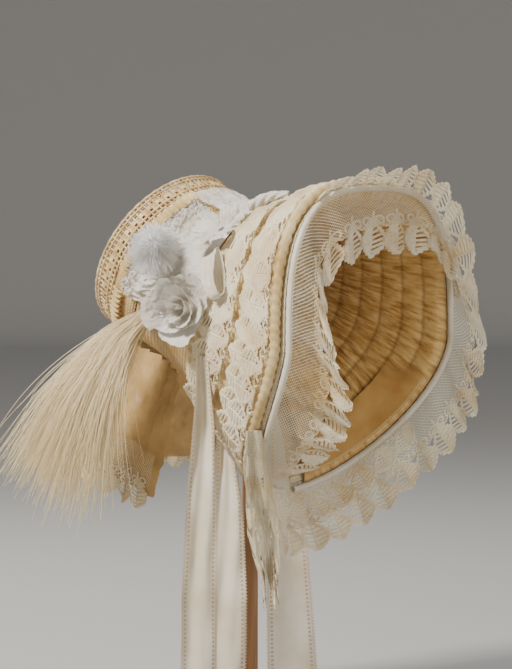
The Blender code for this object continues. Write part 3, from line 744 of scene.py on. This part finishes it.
def leafTemplate():
    mesh = bmesh.new()
    for side in (-1, 1):
        band(mesh, [leafEdge(i / 22, side) for i in range(23)], leaf["border"], picots=leaf["picot"])
    band(mesh, [leafSpine(i / 8 * 1.28) for i in range(9)], leaf["bar"], 1.3)
    for i in range(6):
        share = 0.14 + 0.130 * i
        spine = leafSpine(share)
        band(mesh, straight(spine, leafEdge(min(share + 0.10, 0.98), 1), 3), leaf["bar"] * 1.35)
        band(mesh, straight(spine, leafEdge(min(share + 0.07, 0.98), -1), 3), leaf["bar"] * 0.8, 1.2)
    top = leafSpine(0.98)
    for side in (-1, 1):
        centre = (top[0] + side * leaf["width"] * 0.24, top[1] + 0.0006)
        band(mesh, circle(centre, leaf["eyelet"], 11), leaf["bar"] * 1.15)
    wave = [
        (leaf["width"] * (i / 8 - 0.5) + top[0], top[1] - 0.0012 - 0.0030 * cos(tau * i / 8))
        for i in range(9)
    ]
    band(mesh, wave, leaf["bar"])
    start = len(mesh.faces)
    for vert in bmesh.ops.create_grid(mesh, x_segments=3, y_segments=10, size=0.5)["verts"]:
        share = 0.02 + 0.96 * (vert.co.y + 0.5)
        inner, outer = leafSpine(share), leafEdge(share, -1)
        vert.co = (*(mix(a, b, vert.co.x + 0.5) for a, b in zip(inner, outer)), 0)
    mesh.faces.ensure_lookup_table()
    for face in mesh.faces[start:]:
        face.material_index = 1
    return baked("leaf", mesh)


leafMesh = leafTemplate()


def leafRow(name, point, length, count, width, tall=1.0, back=0.0, lift=0.0, wobble=0.10):
    # leaves hung along the edge of a lace, bent with it
    places = []
    for i in range(count):
        middle = (i + 0.5) / count
        size = tall * (1 + wobble * (random.random() - 0.5))
        shift = random.uniform(-0.0006, 0.0006)

        def place(x, y, z, middle=middle, size=size, shift=shift, curl=random.uniform(-0.0016, 0.0016)):
            u = min(max(middle + (x * width / (count * leaf["width"]) + shift) / width, 0), 1)
            d = max(length(u) - back - y * size, 0)
            spot = point(u, d)
            side = point(min(u + 0.002, 1), d) - point(max(u - 0.002, 0), d)
            down = point(u, d + 0.0005) - point(u, d - 0.0005 if d > 0.0005 else 0)
            bend = curl * (1 - min(y / leaf["height"], 1)) ** 2 + lumps(*(spot / 0.007)) * 0.0009
            return spot + side.cross(down).normalized() * (z + 0.0003 + lift + bend)

        places.append(place)
    return joined(name, leafMesh, places)


def buildLace(name, node, point, length, width, leaves, rows=1, columns=240, step=0.5, tall=1.0):
    longest = max(length(i / 20) for i in range(21))
    cut = leaf["height"] * 0.74 * tall

    def netPoint(u, v):
        return point(u, v * max(length(u) - cut, 0.003))

    sizes = (width, longest - cut)
    made = finish(name + "Net", gridMesh(name + "Net", netPoint, columns, 22, sizes), net, node)
    for row in range(rows):
        back = row * leaf["height"] * step * tall
        lift = 0.0006 + 0.0009 * (row % 2)
        data = leafRow(f"{name}Leaves{row}", point, length, leaves, width, tall, back, lift)
        finish(f"{name}Leaves{row}", data, lace, node, extra=laceFill)
    area = sum(face.area for face in made.data.polygons)
    flat = (width, max(sizes[1], 0.0102))
    area = min(max(area, 0.31 * width * sizes[1]), width * sizes[1])


fallColumns = "angle length up out front"
outerFall = table(
    fallColumns,
    (-30, 1.1, 0.35, 0.2, 0.9),
    (5, 1.2, 0.45, 0.2, 0.85),
    (32, 1.4, 0.35, 0.6, 0.6),
    (52, 1.9, -0.25, 0.95, 0.35),
    (78, 3.5, -0.85, 0.62, 0.30),
    (105, 3.3, -0.92, 0.45, 0.30),
    (130, 3.2, -1.0, 0.25, 0.25),
    (155, 3.3, -1.0, 0.10, 0.20),
    (190, 3.0, -1.0, 0.05, 0.15),
)
innerFall = table(
    fallColumns,
    (-158, 2.4, -0.10, -0.95, 0.50),
    (-130, 3.1, -0.40, -0.75, 0.66),
    (-95, 3.4, -0.72, -0.58, 0.62),
    (-60, 3.5, -0.90, -0.25, 0.46),
    (-30, 3.3, -1.0, 0.0, 0.25),
    (0, 3.1, -1.0, 0.0, 0.22),
    (35, 2.8, -1.0, -0.05, 0.22),
    (62, 1.5, -0.90, -0.10, 0.25),
)
edgeFall = table(
    fallColumns,
    (128, 1.0, -1.0, 0.15, 0.35),
    (160, 1.5, -1.0, 0.10, 0.35),
    (200, 1.3, -1.0, 0.05, 0.35),
)
leafUnit = 0.0170


def read(rows, column, at):
    at = min(max(at, rows[0]["angle"]), rows[-1]["angle"])
    for a, b in zip(rows, rows[1:]):
        if at <= b["angle"]:
            return mix(a[column], b[column], (at - a["angle"]) / (b["angle"] - a["angle"]))
    return rows[-1][column]


def rimFrill(rows, depth, height, ahead, waves, sway):
    # sampled once, then read between the samples
    count = 360
    samples = []
    for i in range(count + 1):
        angle = mix(rows[0]["angle"], rows[-1]["angle"], i / count)
        theta = radians(angle)
        forward = (brimPoint(1.0, theta) - brimPoint(0.97, theta)).normalized()
        root = lifted(depth, theta, height) + forward * ahead
        direction = up * read(rows, "up", angle) + outward(1.0, theta) * read(rows, "out", angle)
        direction += front * read(rows, "front", angle)
        samples.append([root, direction.normalized(), leafUnit * read(rows, "length", angle)])
    for i in range(count + 1):
        step = samples[min(i + 1, count)][0] - samples[max(i - 1, 0)][0]
        samples[i].append(samples[i][1].cross(step).normalized())
    usual = samples[count // 2][2]

    def at(u):
        place = min(max(u, 0), 1) * count
        i = min(int(place), count - 1)
        return [mix(a, b, place - i) for a, b in zip(samples[i], samples[i + 1])]

    def length(u):
        return at(u)[2]

    def point(u, d):
        root, direction, longest, normal = at(u)
        share = max(d, 0) / longest
        drift = lumps(u * waves * 0.6, 2, waves)
        wave = sin(tau * waves * u + 1.5 * drift)
        fine = sin(tau * waves * 2.7 * u + 2 * drift) * 0.28
        ripple = sway * (wave + fine) * share**0.8 * longest / usual
        return root + direction * d + normal * ripple

    return point, length


def buildRimLaces():
    ahead = 2 * 0.0022 + 0.0008
    point, length = rimFrill(outerFall, 0.985, 0.0037, 0.0, 10, 0.0062)
    buildLace("laceOuter", "lace_outer", point, length, 0.43, 25, columns=320)
    point, length = rimFrill(innerFall, 1.0, 0.0, ahead + 0.0006, 8.5, 0.0036)
    buildLace("laceInner", "lace_inner", point, length, 0.38, 18, columns=260, tall=1.1)
    point, length = rimFrill(edgeFall, 1.0, 0.0, ahead + 0.0002, 2.5, 0.0020)
    buildLace("laceEdge", "lace_edge", point, length, 0.13, 8, columns=70, tall=0.8)


def buildTier(name, node, rootDepth, tipDepth, low, high, leaves, waves, sway, width, rows):
    tall = (rootDepth - tipDepth) * 0.155

    def length(u):
        return tall

    def point(u, d):
        share = max(d, 0) / tall
        depth = mix(rootDepth, tipDepth, share)
        wave = sin(tau * waves * u)
        rise = mix(low, high, share) + sway * (wave + 1) * (0.25 + share)
        rise += 0.0009 * lumps(u * 50, share * 4, 1)
        return lifted(depth, neckAngle(depth) * mix(-0.955, 0.955, u), rise)

    buildLace(name, node, point, length, width, leaves, rows, columns=200, step=0.42, tall=0.95)


def buildJabot():
    top = lifted(0.985, radians(-128), 0.0104)
    drop = leafUnit * 8.0

    def length(u):
        return drop * (0.90 + 0.10 * sin(tau * 3.5 * u))

    def point(u, d):
        share = d / drop
        half = leafUnit * mix(0.42, 0.80, sin(pi * min(share * 1.15, 1)))
        across = mix(-1, 1, u)
        ruffle = 0.0019 * (0.5 + share) * sin(tau * 1.3 * u + 1.6 * sin(share * 8))
        spot = top + Vector((across * half * 0.85, -across * half * 0.35, -drop * share))
        spot += Vector((0.07, -0.08, 0)) * drop * share
        return spot + Vector((-0.35 * ruffle, -ruffle, 0))

    buildLace("laceJabot", "lace_jabot", point, length, 0.030, 2, rows=7, columns=70, step=0.84, tall=0.85)


buildRimLaces()
buildTier("laceTierFront", "lace_tier_front", 0.925, 0.70, 0.0070, 0.0094, 24, 7, 0.0012, 0.52, 2)
buildTier("laceTierBack", "lace_tier_back", 0.66, 0.44, 0.0084, 0.0092, 20, 6.5, 0.0012, 0.42, 2)
buildJabot()

# trimming

print("trimming")


def spotFrame(depth, degrees, height, lean=0.0):
    theta = radians(degrees)
    normal = (outward(depth, theta) + front * lean).normalized()
    side = up.cross(normal).normalized()
    return lifted(depth, theta, height), normal, side, normal.cross(side)


def buildRuche(name, node, depth, angles, width, pleats, lift, flat):
    def point(u, v):
        theta = radians(mix(angles[0], angles[1], u))
        knife = sin(tau * pleats * u + 1.2 * sin(tau * pleats * u))
        arch = sin(pi * v) * 0.0022
        edge = 1 + 0.6 * abs(2 * v - 1)
        return lifted(depth + (v - 0.5) * width * (1 + 0.06 * knife), theta, lift + arch + 0.0017 * knife * edge)

    made = finish(name, gridMesh(name, point, pleats * 18, 10, flat), creamSilk, node)


tulleFlat = dict(puff=(0.115, 0.060), drape=(0.070, 0.052))
down = dict(strands=2600, core=0.0115, reach=(0.014, 0.0225))
petal = dict(count=5, reach=0.027, flat=(0.120, 0.026))
loop = dict(length=0.019, half=0.010, flat=(0.085, 0.019))


def buildTulle():
    def puff(u, v):
        depth = mix(-0.36, 0.33, v)
        theta = radians(mix(-25, mix(-97, -79, smooth(0.60, 0.80, v)), u))
        bed = smooth(0, 0.12, v) * (1 - smooth(0.52, 0.72, v) * 0.82) * smooth(0, 0.1, 1 - v)
        lump = lumps(u * 13, v * 7, 4) + 0.45 * lumps(u * 34, v * 15, 2)
        fold = abs(lumps(u * 19, v * 8, 9)) * 2
        crumple = 1 - abs(lumps(u * 26 + lump, v * 15, 11)) * 2.4
        rise = 0.0032 + bed * (0.0026 + 0.0034 * lump + 0.0018 * fold + 0.0024 * max(crumple, 0) ** 2)
        return lifted(depth, theta, max(rise, 0.002))

    made = finish("tullePuff", gridMesh("tullePuff", puff, 200, 110, tulleFlat["puff"]), whiteSilk, "tulle_puff")

    def drape(u, v):
        uneven = 1.5 * lumps(u * 2, v * 7, 5)
        crownDepth = -0.52 + 0.03 * lumps(1, v * 8, 3)
        brimDepth = 0.31 - 0.02 * abs(lumps(4, v * 8, 3))
        crown = lifted(crownDepth, radians(mix(-22, 20, v)), 0.0045)
        brim = lifted(brimDepth, radians(mix(-20, 16, v) - uneven), 0.0045)
        arch = sin(pi * u)
        drift = lumps(u * 3, v * 4, 2) * 5
        fold = 0.0016 * sin(v * 30 + 3 * u + drift) * arch
        fold += 0.0026 * lumps(u * 9, v * 15, 0) * arch
        return mix(crown, brim, u) + up * (fold - 0.0052 * arch + 0.0008)

    made = finish("tulleDrape", gridMesh("tulleDrape", drape, 60, 90, tulleFlat["drape"]), tulle, "tulle_drape")

    path = []
    for i in range(121):
        share = i / 120
        theta = radians(mix(-22, -13, share))
        rise = 0.0094 + 0.004 * share + 0.0035 * sin(pi * share)
        path.append(lifted(mix(0.33, 0.56, share), theta, rise))

    def radius(u, angle):
        thick = mix(0.0050, 0.0024, u) * min(1, 0.35 + 8 * u)
        uneven = 0.12 * lumps(u * 40, cos(angle) * 3, sin(angle) * 3)
        return thick * (0.92 + 0.22 * cos(4 * (angle + u * 6)) + uneven)

    finish("crepeTwist", tubeMesh("crepeTwist", path, radius, around=28), whiteSilk, "crepe_twist")


def buildDown():
    centre = lifted(0.05, radians(-64), 0.0259)
    starts = []
    for i in range(down["strands"]):
        heading = Vector((random.gauss(0, 1), random.gauss(0, 1), random.gauss(0, 1))).normalized()
        side = heading.orthogonal().normalized()
        starts.append((heading, side, random.uniform(*down["reach"]), random.uniform(-0.5, 0.5)))

    def point(strand, edge, along):
        heading, side, reach, curl = starts[strand]
        spot = centre + heading * reach * mix(0.15, 1, along) + side * curl * reach * along * along * 0.6
        spot.z -= 0.004 * along * along
        thick = 0.00042 * (1 - along * 0.75)
        return spot + heading.cross(side) * (thick if edge else -thick)

    shader = Shader("down", (0.88, 0.88, 0.87), 1.0, sheen=0.4, thin=0.30)
    data = strandMesh("downTuft", down["strands"], 5, point)
    core = bmesh.new()
    bmesh.ops.create_icosphere(core, subdivisions=3, radius=down["core"], matrix=Matrix.Translation(centre))
    core.from_mesh(data)
    core.to_mesh(data)
    core.free()
    finish("downTuft", data, shader.material, "down_tuft")


def buildPetals():
    centre, normal, side, high = spotFrame(0.34, -42, 0.0121)

    def point(u, v):
        share = mix(0.10, 1, v)
        angle = tau * u
        bow = abs(sin(petal["count"] * angle / 2))
        lobe = 0.55 + 0.45 * bow**0.55
        reach = petal["reach"] * share * mix(1, lobe, smooth(0.1, 0.6, share))
        cup = 0.009 * share**2 * (0.3 + 0.7 * bow) - 0.005 * sin(angle) * share
        cup += 0.0034 * share * lumps(cos(angle) * 5, sin(angle) * 5, share * 5)
        cup += (0.0011 * sin(angle * 25 + 2 * sin(angle * 3)) + 0.0004 * sin(angle * 60)) * share
        cup -= 0.0035 * smooth(0.80, 1.0, share) * bow
        return centre + side * reach * cos(angle) + high * reach * sin(angle) + normal * cup

    data = gridMesh("silkPetals", point, 260, 24, petal["flat"], close=True)
    made = finish("silkPetals", data, whiteSilk, "silk_petals")


rose = dict(radius=0.030, height=0.024, turns=4.6, petals=4.3, flat=(0.42, 0.022))


def buildRose():
    centre, normal, side, high = spotFrame(0.345, -90, 0.0151, lean=0.38)

    def point(u, v):
        angle = tau * rose["turns"] * u
        radius = rose["radius"] * mix(0.07, 0.68, u**0.9)
        swell = 0.5 + 0.5 * cos(rose["petals"] * angle * 0.62)
        # the foot closes on the turn inside it
        radius = max(radius - 0.0046 * (1 - smooth(0, 0.16, v)), 0.0006)
        around = side * cos(angle) + high * sin(angle)
        spread = mix(0.15, 1.0, u)
        crumple = lumps(angle * 1.7, v * 2.2, 1)
        crease = lumps(angle * 6, v * 4, 5) + 0.6 * lumps(angle * 15, v * 5, 9)
        flare = rose["radius"] * (0.31 * v**2 * (0.5 + 0.8 * swell)) + 0.0042 * crumple * v + 0.0020 * crease * v
        flare *= spread
        rise = rose["height"] * mix(1, 0.54, u) * v * (0.82 + 0.18 * swell) + 0.0036 * crumple * v
        return centre + around * (radius * (0.80 + 0.20 * v) + flare) + normal * rise

    made = finish("silkRose", gridMesh("silkRose", point, 900, 18, rose["flat"]), whiteSilk, "rose")


def buildLoop():
    centre, normal, side, high = spotFrame(0.50, -66, 0.0160)
    along = (high * 0.85 - side * 0.5).normalized()
    over = normal.cross(along)

    def point(u, v):
        angle = tau * u
        tall = 0.0055 * sin(angle) * (1 - 0.35 * cos(angle))
        across = mix(-1, 1, v)
        crush = 0.0012 * lumps(cos(angle) * 3, sin(angle) * 3, across * 2)
        spot = centre + along * (loop["length"] * cos(angle) + crush)
        spot += normal * (tall + 0.0015 * abs(across) + crush)
        return spot + over * across * loop["half"] * (0.75 + 0.25 * cos(angle))

    made = finish("ribbonLoop", gridMesh("ribbonLoop", point, 90, 16, loop["flat"], close=True), satin, "ribbon_loop")


# the second plume colour is the painted shade used low on the plume
plume = dict(length=0.168, strands=1700, colours=((0.90, 0.78, 0.54), (0.72, 0.60, 0.36)))


def buildPlume():
    root = lifted(0.08, radians(-104), 0.0047)
    first, last = Vector((-0.54, 0.43, -0.75)), Vector((-0.36, 0.03, -0.93))
    hairs = []
    for i in range(plume["strands"]):
        fan = random.betavariate(1.3, 1.3)
        heading = mix(first, last, fan).normalized()
        stray = 2.6 if random.random() < 0.12 else 1.0
        heading += Vector((random.gauss(0, 0.035), random.gauss(0, 0.05), random.gauss(0, 0.045))) * stray
        reach = plume["length"] * random.triangular(0.40, 1.06, 0.90)
        curl = Vector((random.gauss(0, 0.5), random.gauss(0, 0.5), random.gauss(0, 0.4)))
        hairs.append((fan - 0.5, heading.normalized(), reach, curl, random.uniform(-1, 1), random.uniform(0, 6)))

    def point(strand, edge, along):
        fan, heading, reach, curl, deep, turn = hairs[strand]
        lift = sin(pi * min(1, along * 1.02))
        spot = root + heading * reach * along - crownAxis * fan * 0.012
        spot += Vector((-0.12, -0.04, 0.05)) * plume["length"] * lift
        spot += curl * 0.0120 * along**2.2
        spot += Vector((-0.8, -0.45, 0.1)) * deep * 0.0042 * sin(pi * (0.1 + 0.85 * along))
        spot += curl.cross(heading) * 0.0026 * sin(along * 11 + turn) * along
        thick = 0.00022 * (1.25 - 0.70 * along)
        away = Vector((-0.8, -0.45 + 0.25 * curl.x, 0.1 + 0.25 * curl.y))
        return spot + heading.cross(away).normalized() * (thick if edge else -thick)

    shader = Shader("plume fibre", plume["colours"][0], 0.6, sheen=0.2, thin=0.30)
    _, _, z = shader.axes()
    streak = shader.cloud(700, 2, stretch=(1, 1, 0.08)).range(0.35, 0.65)
    # painted shade: the fibres are painted darker from z 0.30 down to z 0.20, towards the bottom of the plume
    lowShaded = shader.blend(z.range(0.30, 0.20), plume["colours"][0], plume["colours"][1])
    shader.paint(shader.blend(streak * 0.35, lowShaded, (0.40, 0.30, 0.13)))
    data = strandMesh("plumeFibres", plume["strands"], 14, point)
    finish("plumeFibres", data, shader.material, "plume")


buildTulle()
buildRuche("rucheUpper", "ruche_upper", -0.36, (-24, -86), 0.20, 14, 0.0096, (0.120, 0.016))
buildRuche("rucheLower", "ruche_lower", -0.40, (-100, -140), 0.20, 11, 0.0042, (0.105, 0.016))
buildDown()
buildPetals()
buildRose()
buildLoop()
buildPlume()

# neck

print("neck")
neckLine = table(
    "angle depth turn length out side",
    (0.00, 0.30, -145, 0.105, 0.10, -0.20),
    (0.14, 0.12, -138, 0.112, 0.18, -0.26),
    (0.28, -0.10, -138, 0.110, 0.29, -0.24),
    (0.50, -0.55, -180, 0.106, 0.37, 0.0),
    (0.72, -0.10, -222, 0.110, 0.29, 0.24),
    (0.86, 0.12, -222, 0.112, 0.18, 0.26),
    (1.00, 0.30, -215, 0.105, 0.10, 0.20),
)


def neckSpot(u, drop):
    turn = radians(read(neckLine, "turn", u))
    top = lifted(read(neckLine, "depth", u), turn, 0.0031)
    direction = Vector((read(neckLine, "side", u), read(neckLine, "out", u), -1)).normalized()
    away = Vector((top.x, top.y, 0)).normalized()
    full = min(1, 0.15 + drop)
    wave = sin(tau * 7 * u) * 0.0050 * full
    wave += 0.0016 * sin(tau * 23 * u + 3 * lumps(u * 9, drop * 2, 0)) * (1.2 - drop)
    wave += 0.0012 * lumps(u * 26, drop * 6, 3)
    return top + direction * read(neckLine, "length", u) * drop + away * wave, away


def buildBavolet():
    flat, laceFall = (0.38, 0.105), 0.052

    def point(u, v):
        spot, away = neckSpot(u, v * 0.94)
        crease = abs(lumps(u * 30, v * 5 + u * 9, 6))
        crease += 0.5 * abs(lumps(u * 60, v * 13, 8))
        return spot - away * 0.0045 * crease * smooth(0, 0.1, v)

    made = finish("bavoletSilk", gridMesh("bavoletSilk", point, 320, 50, flat), taffeta, "bavolet")

    def laceLength(u):
        return laceFall

    def lacePoint(u, d):
        spot, away = neckSpot(u, mix(0.62, 1.03, d / laceFall))
        return spot + away * 0.0050

    buildLace("bavoletLace", "bavolet_lace", lacePoint, laceLength, 0.42, 24, columns=220)


tieColumns = "angle across forward turn width"
tieRows = dict(
    back=table(
        tieColumns,
        (0.00, 0.0, 0.0, 20, 0.30),
        (0.20, 0.05, 0.05, 30, 0.60),
        (0.45, -0.05, 0.10, 45, 0.85),
        (0.70, -0.10, 0.05, 35, 0.95),
        (1.00, -0.05, 0.00, 30, 1.00),
    ),
    front=table(
        tieColumns,
        (0.00, 0.0, 0.0, 60, 0.30),
        (0.30, 0.05, 0.10, 50, 0.80),
        (0.65, 0.00, 0.15, 40, 1.00),
        (1.00, 0.05, 0.05, 35, 1.05),
    ),
    far=table(
        tieColumns,
        (0.00, 0.0, 0.0, 30, 0.60),
        (0.30, 0.10, 0.0, 40, 0.90),
        (0.60, 0.30, -0.10, 55, 1.20),
        (1.00, 0.35, 0.05, 45, 1.40),
    ),
)
ties = dict(width=0.030, end=0.034)


def buildTie(name, node, top, rows, wide):
    fall = top.z - ties["end"]
    material = satinShader(name, stripes=True, width=wide)

    def point(u, v):
        turn = radians(read(rows, "turn", v))
        across = Vector((cos(turn), -sin(turn), 0))
        drift = Vector((ties["width"] * read(rows, "across", v), -ties["width"] * read(rows, "forward", v), 0))
        middle = top + drift - up * fall * v
        crease = 0.0030 * cos(tau * u + v * 2) * (1 - 0.3 * v)
        crease += 0.0016 * lumps(u * 3, v * 7, len(name))
        crease += 0.0012 * sin(u * 14 + v * 9) * (1 - v)
        return middle + across * ties["width"] * read(rows, "width", v) * (u - 0.5) + across.cross(up) * crease

    made = finish(name, gridMesh(name, point, 30, 160, (wide, fall)), material, node)


def buildTies():
    buildTie("tieBack", "tie_back", lifted(0.52, radians(-112), 0.0138), tieRows["back"], 0.028)
    buildTie("tieFront", "tie_front", lifted(0.62, radians(-161.5), 0), tieRows["front"], 0.028)
    buildTie("tieFar", "tie_far", lifted(0.40, radians(139), 0.0115), tieRows["far"], 0.032)


buildBavolet()
buildTies()

# camera and light

print("camera")
view = dict(azimuth=-47.0, elevation=4.0, distance=2.6, scale=0.00078, postX=250, bottom=0.050, width=512, height=669)


def buildCamera():
    a, e = radians(view["azimuth"]), radians(view["elevation"])
    back = Vector((sin(a) * cos(e), -cos(a) * cos(e), sin(e)))
    right = Vector((cos(a), sin(a), 0))
    target = right * (view["width"] / 2 - view["postX"]) * view["scale"]
    target += up * (view["bottom"] + view["height"] / 2 * view["scale"])
    data = bpy.data.cameras.new("camera")
    data.sensor_fit = "VERTICAL"
    data.sensor_height = 24
    data.lens = data.sensor_height * view["distance"] / (view["height"] * view["scale"])
    camera = bpy.data.objects.new("camera", data)
    camera.location = target + back * view["distance"]
    camera.rotation_euler = back.to_track_quat("Z", "Y").to_euler()
    bpy.context.scene.collection.objects.link(camera)
    bpy.context.scene.camera = camera
    return target, back, right


def buildLight(name, place, target, size, power, colour=(1, 1, 1)):
    data = bpy.data.lights.new(name, "AREA")
    data.size = size
    data.energy = power
    data.color = colour
    light = bpy.data.objects.new(name, data)
    light.location = place
    light.rotation_euler = (place - target).to_track_quat("Z", "Y").to_euler()
    bpy.context.scene.collection.objects.link(light)


def buildStudio():
    target, back, right = buildCamera()

    def sweep(u, v):
        # a round floor that turns up into the backdrop on every side
        away = 0.001 + 7.0 * v
        bend = max(0.0, away - 4.2)
        rise = bend * bend / (bend + 0.6)
        reach = away - rise * 0.6
        return Vector((reach * cos(tau * u), reach * sin(tau * u), rise * 1.8 - 0.0005))

    floor = bpy.data.objects.new("floor", gridMesh("floor", sweep, 72, 70, (1, 1), close=True))
    bpy.context.scene.collection.objects.link(floor)
    floor.data.shade_smooth()
    floor.data.materials.append(Shader("floor", (0.47, 0.46, 0.445), 0.85).material)
    buildLight("key", target + back * 1.1 - right * 1.3 + up * 1.4, target, 0.42, 88, (1.0, 0.95, 0.87))
    buildLight("fill", target + back * 1.3 + right * 1.3 + up * 0.5, target, 1.0, 13, (1.0, 0.97, 0.92))
    buildLight("rim", target - back * 1.1 - right * 0.4 + up * 1.1, target, 0.8, 14)
    world = bpy.data.worlds.new("studio")
    world.use_nodes = True
    world.node_tree.nodes["Background"].inputs["Color"].default_value = (0.60, 0.61, 0.62, 1)
    world.node_tree.nodes["Background"].inputs["Strength"].default_value = 0.46
    bpy.context.scene.world = world


buildStudio()
